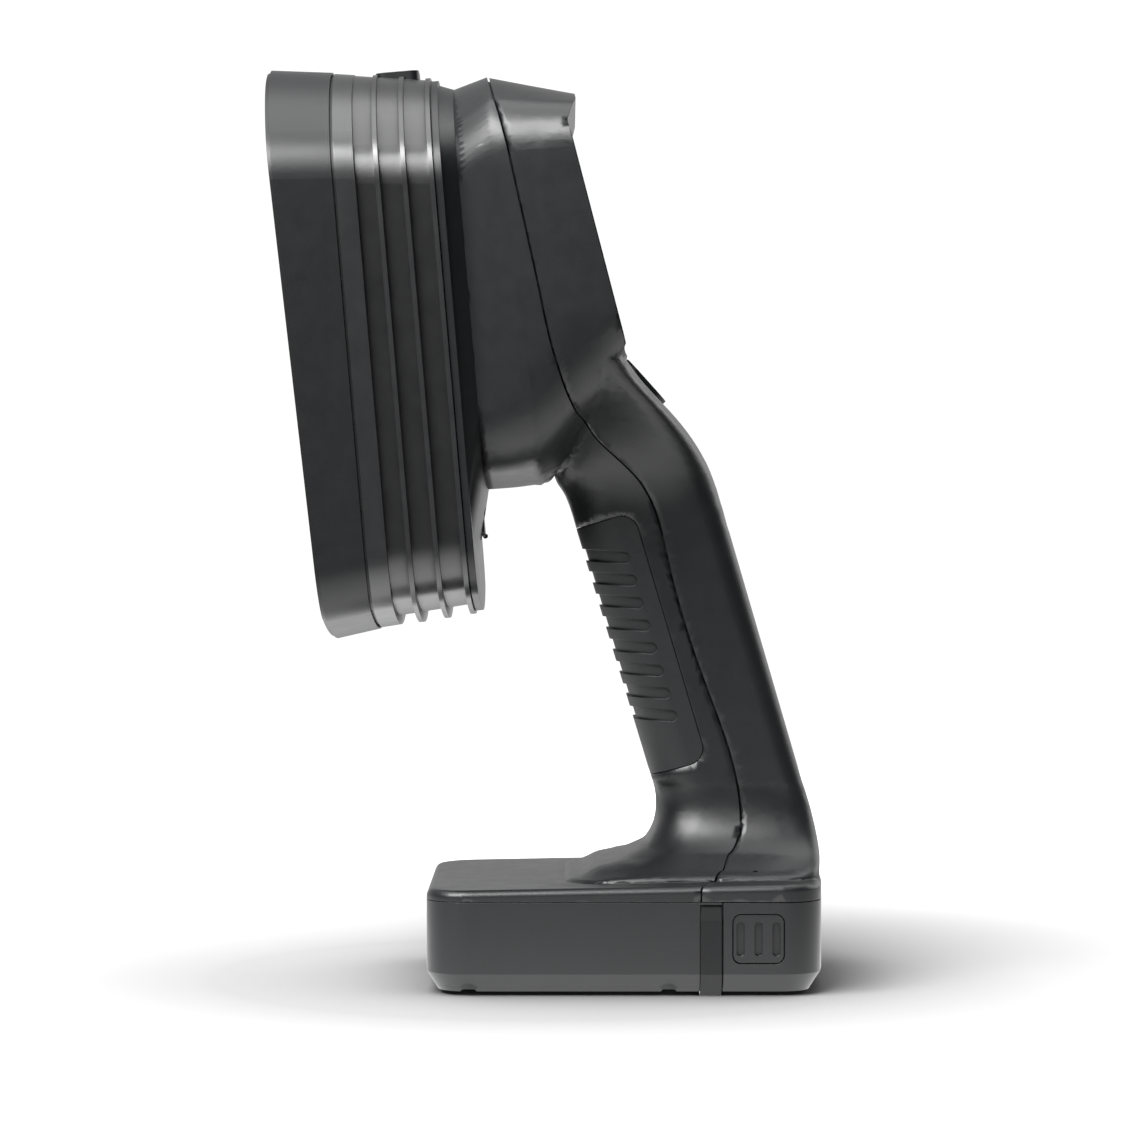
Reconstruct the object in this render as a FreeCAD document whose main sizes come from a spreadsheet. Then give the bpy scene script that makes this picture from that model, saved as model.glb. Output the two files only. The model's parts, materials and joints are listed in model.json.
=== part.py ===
import FreeCAD, Part
import math
import os

from FreeCAD import Placement, Rotation, Vector

# Handheld acoustic imaging scanner: a round-cornered head with a finned waist, a display housing behind it,
# a pistol handle and a battery base.  Millimetres.  +Z is up, the head looks along -Y, X = 0 is the
# symmetry plane and the origin is the middle of the footprint.

doc = FreeCAD.newDocument("handheld_scanner")
sheet = doc.addObject("Spreadsheet::Sheet", "sizes")

DIMENSIONS = {
    # whole object
    "overall_height": 273.0,
    "front_y": -82.6,
    "rear_y": 82.5,
    "wall": 2.4,
    # head: every ring is the same outline, smaller towards the rear
    "head_half_width": 62.5,
    "head_length": 171.4,
    "crown_radius": 80.0,
    "crown_corner_radius": 20.0,
    "chin_radius": 200.0,
    "chin_corner_radius": 16.0,
    "ring_tilt": 4.8,
    "panel_tilt": 6.5,
    "crown_draft": 8.3,
    "panel_thickness": 2.2,
    "panel_inset": 0.8,
    "panel_proud": 1.0,
    "port_radius": 1.0,
    "port_first_ring": 14.0,
    "port_ring_step": 6.3,
    "camera_window_radius": 7.0,
    "membrane_thickness": 0.3,
    "board_thickness": 1.6,
    "bezel_depth": 18.3,
    "bezel_wall": 3.0,
    "seal_thickness": 0.8,
    "collar_depth": 24.8,
    "fin_depth": 30.4,
    "fin_pitch": 7.75,
    "fin_thickness": 1.4,
    "fin_height": 3.0,
    "core_crown_drop": 0.5,
    "core_crown_radius": 70.0,
    "core_corner_radius": 18.0,
    "sink_wall": 4.0,
    "sink_back": 3.0,
    "cover_depth": 47.6,
    "cover_thickness": 2.0,
    "root_depth": 54.0,
    # display housing
    "display_tilt": 14.6,
    "display_half_width": 60.5,
    "neck_half_width": 53.5,
    "seam_half_width": 57.5,
    "seam_gap": 0.6,
    "seam_depth": 1.2,
    "glass_width": 108.0,
    "glass_length": 60.0,
    "glass_thickness": 1.1,
    "bezel_rim": 1.8,
    "lcd_thickness": 3.6,
    # handle
    "handle_tilt": 16.6,
    "overlay_thickness": 1.4,
    "overlay_gap": 0.25,
    "groove_pitch": 7.0,
    "groove_width": 3.6,
    "groove_depth": 0.9,
    # base
    "base_half_width": 50.0,
    "base_front_y": -34.5,
    "base_corner_radius": 12.0,
    "rear_bow": 2.0,
    "base_lift": 1.2,
    "parting_z": 27.5,
    "base_top_z": 30.4,
    "base_rise": 2.4,
    "base_chamfer": 4.2,
    "base_chamfer_height": 6.5,
    "strap_front_y": 45.0,
    "strap_width": 6.3,
    "strap_thickness": 1.2,
    "strap_proud": 0.5,
    "strap_top_z": 26.6,
    "strap_ramp_height": 4.6,
    "cap_front_y": 51.7,
    "case_half_width": 40.4,
    "case_front_y": -22.0,
    "case_rear_y": 77.5,
    "case_low_z": 3.5,
    "case_top_z": 24.8,
    "case_wall": 1.4,
    "cell_radius": 9.0,
    "cell_length": 65.0,
    # controls
    "power_length": 12.9,
    "power_width": 15.0,
    "power_proud": 1.2,
    "power_sunk": 3.4,
    "power_travel": 0.8,
    "power_well": 6.0,
    "thumb_length": 17.0,
    "thumb_width": 22.0,
    "thumb_proud": 2.0,
    "thumb_sunk": 6.0,
    "thumb_travel": 1.0,
    "latch_length": 14.6,
    "latch_height": 14.0,
    "latch_middle_y": 61.9,
    "latch_middle_z": 16.8,
    "latch_depth": 3.6,
    "latch_spring_length": 4.6,
    "latch_slot": 2.3,
    "latch_slot_pitch": 5.2,
    "screw_radius": 1.5,
    "screw_head_radius": 2.8,
    "screw_head_height": 2.0,
    "harness_radius": 1.3,
}

for row, (alias, value) in enumerate(DIMENSIONS.items(), start=1):
    sheet.set(f"A{row}", alias)
    sheet.set(f"B{row}", str(value))
    sheet.setAlias(f"B{row}", alias)
doc.recompute()


def size(alias):
    return float(sheet.get(alias))


pieces = []

X_AXIS = Vector(1, 0, 0)
Y_AXIS = Vector(0, 1, 0)
Z_AXIS = Vector(0, 0, 1)


# ---------------------------------------------------------------- frames
# Local +y runs up a tilted face and local +z points out of it, for a face that looks forward.

def forward_frame(y, z, tilt):
    return Placement(Vector(0, y, z), Rotation(X_AXIS, 90 + tilt))


HEAD_TOP = Vector(0, size("front_y") + 0.6, size("overall_height") - 0.08)
PANEL_FRAME = forward_frame(size("front_y"), size("overall_height") - 0.7, size("panel_tilt"))
RING_FRAME = forward_frame(HEAD_TOP.y, HEAD_TOP.z, size("ring_tilt"))
# The display looks backward, so its frame is read from behind the head.
DISPLAY_POINT = Vector(0, 7.4, 249.0)
DISPLAY_FRAME = Placement(DISPLAY_POINT, Rotation(X_AXIS, 90 + size("display_tilt")))
HANDLE_POINT = Vector(0, 42.4, 100.0)
HANDLE_FRAME = Placement(HANDLE_POINT, Rotation(X_AXIS, size("handle_tilt")))
THUMB_FRAME = Placement(Vector(0, 28.9, 178.2), Rotation(X_AXIS, -48.0))


def crown_drop(depth):
    """How far the drafted crown has come down at a depth behind the front."""
    return math.tan(math.radians(size("crown_draft"))) * depth


POWER_DEPTH = 37.4
POWER_FRAME = RING_FRAME.multiply(Placement(Vector(0, -crown_drop(POWER_DEPTH), -POWER_DEPTH),
                                            Rotation(X_AXIS, -90)))


# ---------------------------------------------------------------- outlines
def rounded_corner(half_width, edge, big_radius, small_radius, side):
    """Corner between a wide arc and a straight side: points on the arc, mid corner and on the side."""
    reach = big_radius - small_radius
    rise = math.sqrt(reach ** 2 - (half_width - small_radius) ** 2)
    wide_centre = edge - side * big_radius
    corner = Vector(half_width - small_radius, wide_centre + side * rise, 0)
    angle = math.atan2(rise, half_width - small_radius)
    half_angle = angle / 2
    on_arc = corner + Vector(math.cos(angle), side * math.sin(angle), 0) * small_radius
    middle = corner + Vector(math.cos(half_angle), side * math.sin(half_angle), 0) * small_radius
    on_side = corner + Vector(small_radius, 0, 0)
    return on_arc, middle, on_side


def mirrored(point):
    return Vector(-point.x, point.y, point.z)


def head_outline(half_width, top, bottom, inset=0.0, crown=None, crown_corner=None, chin_corner=None):
    """Arched crown, straight sides and a shallow chin: six arcs and two sides."""
    half_width -= inset
    top -= inset
    bottom += inset
    crown = crown or size("crown_radius")
    crown_corner = crown_corner or size("crown_corner_radius")
    chin_corner = chin_corner or size("chin_corner_radius")
    crown_arc, crown_mid, crown_side = rounded_corner(
        half_width, top, crown - inset, crown_corner - inset, 1)
    chin_arc, chin_mid, chin_side = rounded_corner(
        half_width, bottom, size("chin_radius") - inset, chin_corner - inset, -1)
    return [
        Part.Arc(mirrored(crown_arc), Vector(0, top, 0), crown_arc),
        Part.Arc(crown_arc, crown_mid, crown_side),
        Part.LineSegment(crown_side, chin_side),
        Part.Arc(chin_side, chin_mid, chin_arc),
        Part.Arc(chin_arc, Vector(0, bottom, 0), mirrored(chin_arc)),
        Part.Arc(mirrored(chin_arc), mirrored(chin_mid), mirrored(chin_side)),
        Part.LineSegment(mirrored(chin_side), mirrored(crown_side)),
        Part.Arc(mirrored(crown_side), mirrored(crown_mid), mirrored(crown_arc)),
    ]


def rounded_rectangle(x_low, x_high, y_low, y_high, low_radius, high_radius=None):
    """Rectangle with one corner radius at its low y side and another at its high y side."""
    high_radius = high_radius or low_radius
    slant = math.sqrt(0.5)
    corners = [
        (Vector(x_high - low_radius, y_low + low_radius, 0), low_radius, 1, -1),
        (Vector(x_high - high_radius, y_high - high_radius, 0), high_radius, 1, 1),
        (Vector(x_low + high_radius, y_high - high_radius, 0), high_radius, -1, 1),
        (Vector(x_low + low_radius, y_low + low_radius, 0), low_radius, -1, -1),
    ]
    curves = []
    for index, (centre, radius, sign_x, sign_y) in enumerate(corners):
        flat_y = centre + Vector(0, sign_y * radius, 0)
        flat_x = centre + Vector(sign_x * radius, 0, 0)
        middle = centre + Vector(sign_x * slant * radius, sign_y * slant * radius, 0)
        start, end = (flat_y, flat_x) if index % 2 == 0 else (flat_x, flat_y)
        if curves:
            curves.append(Part.LineSegment(curves[-1].EndPoint, start))
        curves.append(Part.Arc(start, middle, end))
    curves.append(Part.LineSegment(curves[-1].EndPoint, curves[0].StartPoint))
    return curves


def centred_rectangle(width, length, radius, middle_y=0.0):
    return rounded_rectangle(-width / 2, width / 2, middle_y - length / 2, middle_y + length / 2, radius)


def placed_wire(curves, placement=None):
    wire = Part.Wire([curve.toShape() for curve in curves])
    if placement:
        wire.Placement = placement.multiply(wire.Placement)
    return wire


def prism(curves, low, high, placement=None):
    """Solid between two heights of a flat outline."""
    face = Part.Face(placed_wire(curves))
    face.translate(Vector(0, 0, low))
    solid = face.extrude(Vector(0, 0, high - low))
    if placement:
        solid.Placement = placement.multiply(solid.Placement)
    return solid


def loft(wires, ruled=True):
    return Part.makeLoft(wires, True, ruled)


# ---------------------------------------------------------------- document helpers
def keep(piece, label):
    piece.Label = label
    pieces.append(piece)
    return piece


def feature(label, shape, placement=None):
    """A piece whose skin neither a sketch nor a primitive describes."""
    piece = doc.addObject("Part::Feature", label)
    piece.Shape = shape
    piece.Placement = placement or Placement()
    return keep(piece, label)


def new_body(label, placement):
    body = doc.addObject("PartDesign::Body", label)
    body.Placement = placement
    return keep(body, label)


def add_sketch(body, curves, place=0.0):
    """Sketch on the body's ground plane, lifted by a height or moved by a placement."""
    ground = next(item for item in body.Origin.OriginFeatures if item.Role == "XY_Plane")
    sketch = body.newObject("Sketcher::SketchObject", body.Label + "_sketch")
    sketch.AttachmentSupport = [(ground, "")]
    sketch.MapMode = "FlatFace"
    if not isinstance(place, Placement):
        place = Placement(Vector(0, 0, place), Rotation())
    sketch.AttachmentOffset = place
    sketch.addGeometry(curves, False)
    return sketch


def add_pad(body, curves, length, place=0.0, backward=False):
    """Pad whose length is an alias of the sheet, or an expression of aliases."""
    pad = body.newObject("PartDesign::Pad", body.Label + "_pad")
    pad.Profile = add_sketch(body, curves, place)
    pad.setExpression("Length", length)
    pad.Reversed = backward
    return pad


def add_pocket(body, curves, length=None, place=0.0, backward=False):
    """Pocket that runs down from its sketch, right through both ways when it has no length."""
    pocket = body.newObject("PartDesign::Pocket", body.Label + "_pocket")
    pocket.Profile = add_sketch(body, curves, place)
    pocket.Reversed = backward
    if length:
        pocket.setExpression("Length", length)
    else:
        pocket.Type = "ThroughAll"
        pocket.Midplane = True
    return pocket


def add_loft(body, sections):
    """Loft through (curves, place) sections, straight from one to the next."""
    sketches = [add_sketch(body, *section) for section in sections]
    additive = body.newObject("PartDesign::AdditiveLoft", body.Label + "_loft")
    additive.Profile = sketches[0]
    additive.Sections = sketches[1:]
    additive.Ruled = True
    return additive


def add_ring_of_holes(body, radius, hole_radius, count, start_angle, middle_y):
    """One drilled hole, repeated round a circle about the camera axis."""
    angle = math.radians(start_angle)
    first = circle(radius * math.cos(angle), middle_y + radius * math.sin(angle), hole_radius)
    hole = add_pocket(body, [first])
    axis = body.newObject("Sketcher::SketchObject", body.Label + "_axis")
    ground = next(item for item in body.Origin.OriginFeatures if item.Role == "XY_Plane")
    axis.AttachmentSupport = [(ground, "")]
    axis.MapMode = "FlatFace"
    axis.AttachmentOffset = Placement(Vector(0, middle_y, 0), Rotation())
    pattern = body.newObject("PartDesign::PolarPattern", body.Label + "_pattern")
    pattern.Originals = [hole]
    pattern.Axis = (axis, ["N_Axis"])
    pattern.Angle = 360.0
    pattern.Occurrences = count
    body.Tip = pattern


def circle(x, y, radius):
    return Part.Circle(Vector(x, y, 0), Z_AXIS, radius)


def box_piece(label, sizes, corner, placement=None):
    """Part::Box whose sizes are expressions or numbers, with its low corner in the given frame."""
    box = doc.addObject("Part::Box", label)
    for name, value in zip(("Length", "Width", "Height"), sizes):
        if isinstance(value, str):
            box.setExpression(name, value)
        else:
            setattr(box, name, value)
    local = Placement(Vector(*corner), Rotation())
    box.Placement = placement.multiply(local) if placement else local
    return keep(box, label)


def screw(length, placement):
    """Pan head screw: its head stands on local z = 0 and its shank runs down."""
    shank = Part.makeCylinder(size("screw_radius"), length, Vector(0, 0, -length))
    head = Part.makeCylinder(size("screw_head_radius"), size("screw_head_height"))
    solid = head.fuse(shank).removeSplitter()
    solid.Placement = placement
    return solid


# ---------------------------------------------------------------- head
SIDE_DRAFT = 0.055
CHIN_DRAFT = 0.075


def ring_outline(depth, inset=0.0):
    """Outline of the head at a depth behind its front, with the crown drafted and the chin nearly level."""
    return head_outline(
        size("head_half_width") - SIDE_DRAFT * depth,
        -crown_drop(depth),
        -size("head_length") + CHIN_DRAFT * depth,
        inset)


def core_outline(depth, inset=0.0):
    """Outline between the fins: almost level with them at the crown, recessed at the sides and the chin."""
    recess = size("fin_height")
    return head_outline(
        size("head_half_width") - SIDE_DRAFT * depth - recess,
        -crown_drop(depth) - size("core_crown_drop"),
        -size("head_length") + CHIN_DRAFT * depth + recess,
        inset,
        crown=size("core_crown_radius"),
        crown_corner=size("core_corner_radius"))


FRONT_OUTLINE = (size("head_half_width"), 0.0, -size("head_length"))
WINDOW_Y = -0.5 * size("head_length")
PORT_RINGS = 7
PORT_TWIST = 11.0


def front_panel():
    """Flat cover over the microphones: rings of sound ports round the camera window."""
    body = new_body("front_panel", PANEL_FRAME)
    outline = head_outline(*FRONT_OUTLINE, inset=size("panel_inset"))
    add_pad(body, outline, "sizes.panel_thickness", backward=True)
    add_pocket(body, [circle(0, WINDOW_Y, size("camera_window_radius"))])
    places = []
    for ring in range(PORT_RINGS):
        radius = size("port_first_ring") + ring * size("port_ring_step")
        count = 9 + 3 * ring
        start = PORT_TWIST * ring
        add_ring_of_holes(body, radius, size("port_radius"), count, start, WINDOW_Y)
        for index in range(count):
            angle = math.radians(start + 360.0 * index / count)
            places.append((radius * math.cos(angle), WINDOW_Y + radius * math.sin(angle)))
    return places


PORTS = front_panel()


def head_inside():
    """Pieces that lie behind the front panel, each parallel to it."""
    back = -size("panel_thickness")
    membrane = new_body("acoustic_membrane", PANEL_FRAME)
    outline = head_outline(*FRONT_OUTLINE, inset=5.2)
    add_pad(membrane, outline, "sizes.membrane_thickness", back, backward=True)
    add_pocket(membrane, [circle(0, WINDOW_Y, size("camera_window_radius"))])

    board_front = back - size("membrane_thickness") - 1.5
    board = new_body("microphone_board", PANEL_FRAME)
    outline = head_outline(*FRONT_OUTLINE, inset=5.6)
    add_pad(board, outline, "sizes.board_thickness", board_front, backward=True)
    add_pocket(board, [circle(0, WINDOW_Y, size("camera_window_radius") + 0.5)])

    capsules = [
        Part.makeBox(3.0, 2.4, 1.0, Vector(x - 1.5, y - 1.2, board_front))
        for x, y in PORTS
    ]
    feature("microphones", Part.makeCompound(capsules), PANEL_FRAME)

    window = doc.addObject("Part::Cylinder", "camera_window")
    window.setExpression("Radius", "sizes.camera_window_radius - 0.05")
    window.setExpression("Height", "sizes.panel_thickness - 0.4")
    window.Placement = PANEL_FRAME.multiply(Placement(Vector(0, WINDOW_Y, back), Rotation()))
    keep(window, "camera_window")

    barrel_front = back - size("membrane_thickness")
    barrel = new_body("camera_barrel", PANEL_FRAME)
    add_pad(barrel, [circle(0, WINDOW_Y, 5.6)], "9", barrel_front, backward=True)
    add_pocket(barrel, [circle(0, WINDOW_Y, 4.0)])
    lens = Part.makeSphere(7.0, Vector(0, WINDOW_Y, barrel_front - 8.0))
    tube = Part.makeCylinder(3.95, 7.0, Vector(0, WINDOW_Y, barrel_front - 7.5))
    feature("camera_lens", lens.common(tube), PANEL_FRAME)
    box_piece("camera_board", (18.0, 18.0, "sizes.board_thickness"),
              (-9, WINDOW_Y - 9, barrel_front - 9 - size("board_thickness")), PANEL_FRAME)


head_inside()


def front_bezel():
    """Drafted ring that frames the panel: a loft from the panel's slope to the fins' slope, then bored."""
    bezel = new_body("front_bezel", RING_FRAME)
    face = RING_FRAME.inverse().multiply(PANEL_FRAME)
    lip = face.multiply(Placement(Vector(0, 0, -size("panel_proud")), Rotation()))
    add_loft(bezel, [
        (head_outline(*FRONT_OUTLINE), lip),
        (ring_outline(size("bezel_depth")), -size("bezel_depth")),
    ])
    add_pocket(bezel, head_outline(*FRONT_OUTLINE, inset=size("bezel_wall") + 1.2))
    seat = head_outline(*FRONT_OUTLINE, inset=size("panel_inset") - 0.05)
    add_pocket(bezel, seat, "sizes.panel_thickness + 0.02", face)


front_bezel()


COVER_SCREWS = [(side * 36.0, height) for side in (-1, 1) for height in (-34.0, -118.0)]
SINK_SCREWS = [(side * 48.4, height) for side in (-1, 1) for height in (-50.0, -85.0, -120.0)]
PORT_Y = -141.0
PORT_COVER_FACE = 52.0


def heat_sink():
    """Cast ring: a plain collar, then a core with three proud fins, open to the front and closed behind."""
    sink = new_body("heat_sink", RING_FRAME)
    front = size("bezel_depth") + size("seal_thickness")
    add_loft(sink, [
        (ring_outline(front, 0.3), -front),
        (ring_outline(size("collar_depth"), 0.3), -size("collar_depth")),
    ])
    add_loft(sink, [
        (core_outline(size("collar_depth")), -size("collar_depth")),
        (core_outline(size("cover_depth")), -size("cover_depth")),
    ])
    for index in range(3):
        depth = size("fin_depth") + index * size("fin_pitch")
        add_pad(sink, ring_outline(depth), "sizes.fin_thickness", -depth, backward=True)
    well_rear = POWER_DEPTH + 9.0
    boss = rounded_rectangle(-10.5, 10.5, -16.0, -crown_drop(well_rear) - 1.0, 2.0)
    add_pad(sink, boss, "18", -well_rear)
    cavity = core_outline(size("cover_depth"), size("sink_wall"))
    add_pocket(sink, cavity, "sizes.cover_depth - sizes.bezel_depth - sizes.sink_back",
               -size("cover_depth") + size("sink_back"), backward=True)
    well = centred_rectangle(size("power_width") + 0.6, size("power_length") + 0.6, 2.8)
    well_mouth = RING_FRAME.inverse().multiply(POWER_FRAME).multiply(Placement(Vector(0, 0, 4), Rotation()))
    add_pocket(sink, well, "sizes.power_well + 4", well_mouth)
    add_pocket(sink, [circle(x, y, size("screw_radius") + 0.1) for x, y in SINK_SCREWS])
    add_pocket(sink, centred_rectangle(11.0, 5.0, 1.5, PORT_Y), "sizes.sink_back + 1",
               0.5 - size("cover_depth") + size("sink_back"))


heat_sink()


def head_rear():
    seal = new_body("head_seal", RING_FRAME)
    add_pad(seal, ring_outline(size("bezel_depth"), 1.2), "sizes.seal_thickness",
            -size("bezel_depth"), backward=True)
    add_pocket(seal, ring_outline(size("bezel_depth"), 3.4))

    back = size("cover_depth") - size("sink_back")
    box_piece("thermal_pad", (60.0, 60.0, 1.2), (-30, WINDOW_Y - 30, -back), RING_FRAME)
    box_piece("signal_board", (88.0, 114.0, "sizes.board_thickness"),
              (-44, -146, -back + 2.8), RING_FRAME)
    chips = [
        Part.makeBox(26, 26, 1.6, Vector(x - 13, WINDOW_Y - 13, -back + 1.2))
        for x in (-15, 15)
    ]
    feature("processor_chips", Part.makeCompound(chips), RING_FRAME)


head_rear()

NECK_TOP_DROP = 10.8
NECK_OPENING = head_outline(26.0, -36.0, -112.0, chin_corner=10.0)
ROOT_FRAME = RING_FRAME.multiply(Placement(Vector(0, 0, -size("root_depth")), Rotation()))
ROOT_BOTTOM = -131.0


def neck_outline(inset=0.0):
    return head_outline(size("neck_half_width"), -NECK_TOP_DROP, ROOT_BOTTOM, inset, chin_corner=18.0)



def head_rear_cover():
    """Rear lid of the head: a flat rim behind the last fin and a raised, chamfered root for the neck."""
    cover = new_body("head_rear_cover", RING_FRAME)
    depth = size("cover_depth")
    add_pad(cover, ring_outline(depth, 0.8), "sizes.cover_thickness", -depth, backward=True)
    rear = depth + size("cover_thickness")
    wide = head_outline(size("head_half_width") - 6.0, -crown_drop(depth) - 2.2, -150.0)
    add_loft(cover, [(wide, -rear), (neck_outline(), -size("root_depth"))])
    add_pocket(cover, NECK_OPENING)
    add_pocket(cover, [circle(x, y, size("screw_radius") + 0.1) for x, y in COVER_SCREWS + SINK_SCREWS])
    add_pocket(cover, [circle(x, y, size("screw_head_radius") + 0.2) for x, y in COVER_SCREWS],
               "sizes.screw_head_height + 0.1", -depth)
    add_pocket(cover, centred_rectangle(15.6, 9.6, 2.4, PORT_Y - 0.2))


head_rear_cover()


def head_fasteners():
    """Screws through the heat sink's back into the cover, and through the cover into the neck."""
    sink_back = -size("cover_depth") + size("sink_back")
    rearward = [Placement(Vector(x, y, sink_back), Rotation()) for x, y in SINK_SCREWS]
    feature("head_screws", Part.makeCompound([screw(8.0, place) for place in rearward]), RING_FRAME)
    seat = -size("cover_depth") - size("screw_head_height")
    rearward = [Placement(Vector(x, y, seat), Rotation()) for x, y in COVER_SCREWS]
    feature("neck_screws", Part.makeCompound([screw(6.5, place) for place in rearward]), RING_FRAME)


head_fasteners()


def data_port():
    """Metal socket on the signal board, and the rubber flap that closes it behind the head."""
    board_back = -size("cover_depth") + size("sink_back") + 2.8
    body = new_body("data_port", RING_FRAME)
    add_pad(body, centred_rectangle(9.0, 3.4, 1.2, PORT_Y), "7.4", board_back, backward=True)
    add_pocket(body, centred_rectangle(8.2, 2.6, 1.0, PORT_Y), "6.4", board_back - 7.4, backward=True)
    flap = new_body("port_cover", RING_FRAME)
    add_pad(flap, centred_rectangle(14.6, 8.0, 2.0, PORT_Y), "1.7", -PORT_COVER_FACE)
    barrel = Placement(Vector(-4.0, PORT_Y - 4.0, -PORT_COVER_FACE), Rotation(Y_AXIS, 90))
    add_pad(flap, [circle(0, 0, 0.7)], "8", barrel)


data_port()


# ---------------------------------------------------------------- housings
# Rounded horizontal sections of the shoulder, handle and foot flare: height, front y, rear y, half width,
# front corner radius, rear corner radius.
SHOULDER = [
    (189.0, -4.0, 20.2, 57.8, 10.0, 8.0),
    (178.0, -5.0, 29.0, 50.0, 13.0, 9.0),
    (168.0, -4.0, 39.2, 36.5, 15.0, 10.0),
    (158.0, 0.5, 46.8, 26.5, 14.0, 9.0),
    (149.0, 4.6, 51.0, 21.2, 13.0, 8.0),
    (143.0, 6.9, 52.6, 19.9, 13.0, 7.5),
    (134.0, 9.6, 55.0, 19.5, 13.0, 7.5),
]
GRIP = [
    SHOULDER[-1],
    (60.0, 32.0, 76.6, 19.5, 13.0, 6.5),
]
FLARE = [
    GRIP[-1],
    (50.0, 33.8, 79.6, 20.4, 13.0, 6.5),
    (43.0, 31.5, 81.0, 24.0, 12.0, 7.0),
    (38.0, 24.0, 81.3, 31.0, 12.0, 8.0),
    (31.0, 6.0, 81.0, 40.0, 12.0, 10.0),
]


def stack(sections, inset, ruled):
    wires = []
    for height, front, rear, half_width, front_radius, rear_radius in sections:
        curves = rounded_rectangle(
            -half_width + inset, half_width - inset, front + inset, rear - inset,
            max(front_radius - inset, 1.0), max(rear_radius - inset, 1.0))
        wires.append(placed_wire(curves, Placement(Vector(0, 0, height), Rotation())))
    return loft(wires, ruled)


def side_prism(points, half_width):
    """Solid across the whole width from a closed outline in the symmetry plane."""
    corners = [Vector(-half_width, y, z) for y, z in points]
    face = Part.Face(Part.makePolygon(corners + corners[:1]))
    return face.extrude(Vector(2 * half_width, 0, 0))


def display_side(inset):
    """Everything behind the brow, the display plane and the shoulder line."""
    slope = math.tan(math.radians(size("display_tilt")))
    low_z = 186.0
    low_y = DISPLAY_POINT.y + (DISPLAY_POINT.z - low_z) * slope
    points = [
        (8.6 - inset, 300.0),
        (8.6 - inset, 264.5),
        (9.0 - inset, 260.1),
        (DISPLAY_POINT.y - 0.8 - inset, DISPLAY_POINT.z + 3.6),
        (low_y - inset, low_z),
        (low_y - inset, 150.0),
        (120.0, 150.0),
        (120.0, 300.0),
    ]
    return side_prism(points, 90.0)


def neck_block(inset):
    """Rounded block from the head's root to the display face."""
    root = ROOT_FRAME.multiply(Placement(Vector(0, 0, -inset), Rotation()))
    middle = forward_frame(-17.6, 270.2, 8.0)
    rear = DISPLAY_FRAME.multiply(Placement(Vector(0, 0, -6.0), Rotation()))
    wires = [
        placed_wire(neck_outline(inset), root),
        placed_wire(head_outline(size("seam_half_width"), 0.0, -123.5, inset,
                                 crown=110.0, crown_corner=18.0, chin_corner=22.0), middle),
        placed_wire(head_outline(size("display_half_width"), 14.6, -65.5, inset,
                                 crown=200.0, crown_corner=14.0, chin_corner=10.0), rear),
    ]
    return loft(wires).cut(display_side(inset))


def base_outline(inset):
    """Plan of the base: rounded corners and a slightly bowed rear."""
    half_width = size("base_half_width") - inset
    front = size("base_front_y") + inset
    rear = size("rear_y") - inset
    radius = size("base_corner_radius") - inset
    bow = size("rear_bow")
    slant = math.sqrt(0.5) * radius
    right = [
        Part.Arc(Vector(half_width - radius, front, 0),
                 Vector(half_width - radius + slant, front + radius - slant, 0),
                 Vector(half_width, front + radius, 0)),
        Part.LineSegment(Vector(half_width, front + radius, 0), Vector(half_width, rear - bow - radius, 0)),
        Part.Arc(Vector(half_width, rear - bow - radius, 0),
                 Vector(half_width - radius + slant, rear - bow - radius + slant, 0),
                 Vector(half_width - radius, rear - bow, 0)),
    ]
    tail = Part.Arc(Vector(half_width - radius, rear - bow, 0), Vector(0, rear, 0),
                    Vector(radius - half_width, rear - bow, 0))
    left = [
        Part.Arc(Vector(radius - half_width, rear - bow, 0),
                 Vector(radius - half_width - slant, rear - bow - radius + slant, 0),
                 Vector(-half_width, rear - bow - radius, 0)),
        Part.LineSegment(Vector(-half_width, rear - bow - radius, 0), Vector(-half_width, front + radius, 0)),
        Part.Arc(Vector(-half_width, front + radius, 0),
                 Vector(radius - half_width - slant, front + radius - slant, 0),
                 Vector(radius - half_width, front, 0)),
    ]
    nose = Part.LineSegment(Vector(radius - half_width, front, 0), Vector(half_width - radius, front, 0))
    return right + [tail] + left + [nose]


def foot_block(inset):
    """Top of the base, rising a little towards the rear."""
    low = size("parting_z") - (0.5 if inset else 0.0)
    block = prism(base_outline(inset), low, 40.0)
    front_y = size("base_front_y")
    top_z = size("base_top_z") - inset
    sky = side_prism([
        (front_y - 5, top_z),
        (size("rear_y") + 5, top_z + size("base_rise")),
        (size("rear_y") + 5, 60.0),
        (front_y - 5, 60.0),
    ], 90.0)
    block = block.cut(sky)
    if inset:
        return block
    edges = [edge for edge in block.Edges if edge.BoundBox.ZMin > top_z - 0.5]
    return block.makeFillet(2.2, edges)


def housing_skin(inset):
    parts = [stack(SHOULDER, inset, False), stack(GRIP, inset, True), stack(FLARE, inset, False),
             foot_block(inset)]
    return neck_block(inset).multiFuse(parts).removeSplitter()


SEAM = [(-18.0, 285.0), (-17.0, 268.0), (-13.0, 253.0), (-8.7, 235.4), (-1.0, 201.0), (7.4, 172.4),
        (15.2, 161.2), (27.8, 149.4), (36.1, 125.9), (46.8, 90.3), (57.4, 54.8), (57.6, 44.0)]
SEAM_FOOT_Z = 44.0


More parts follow.
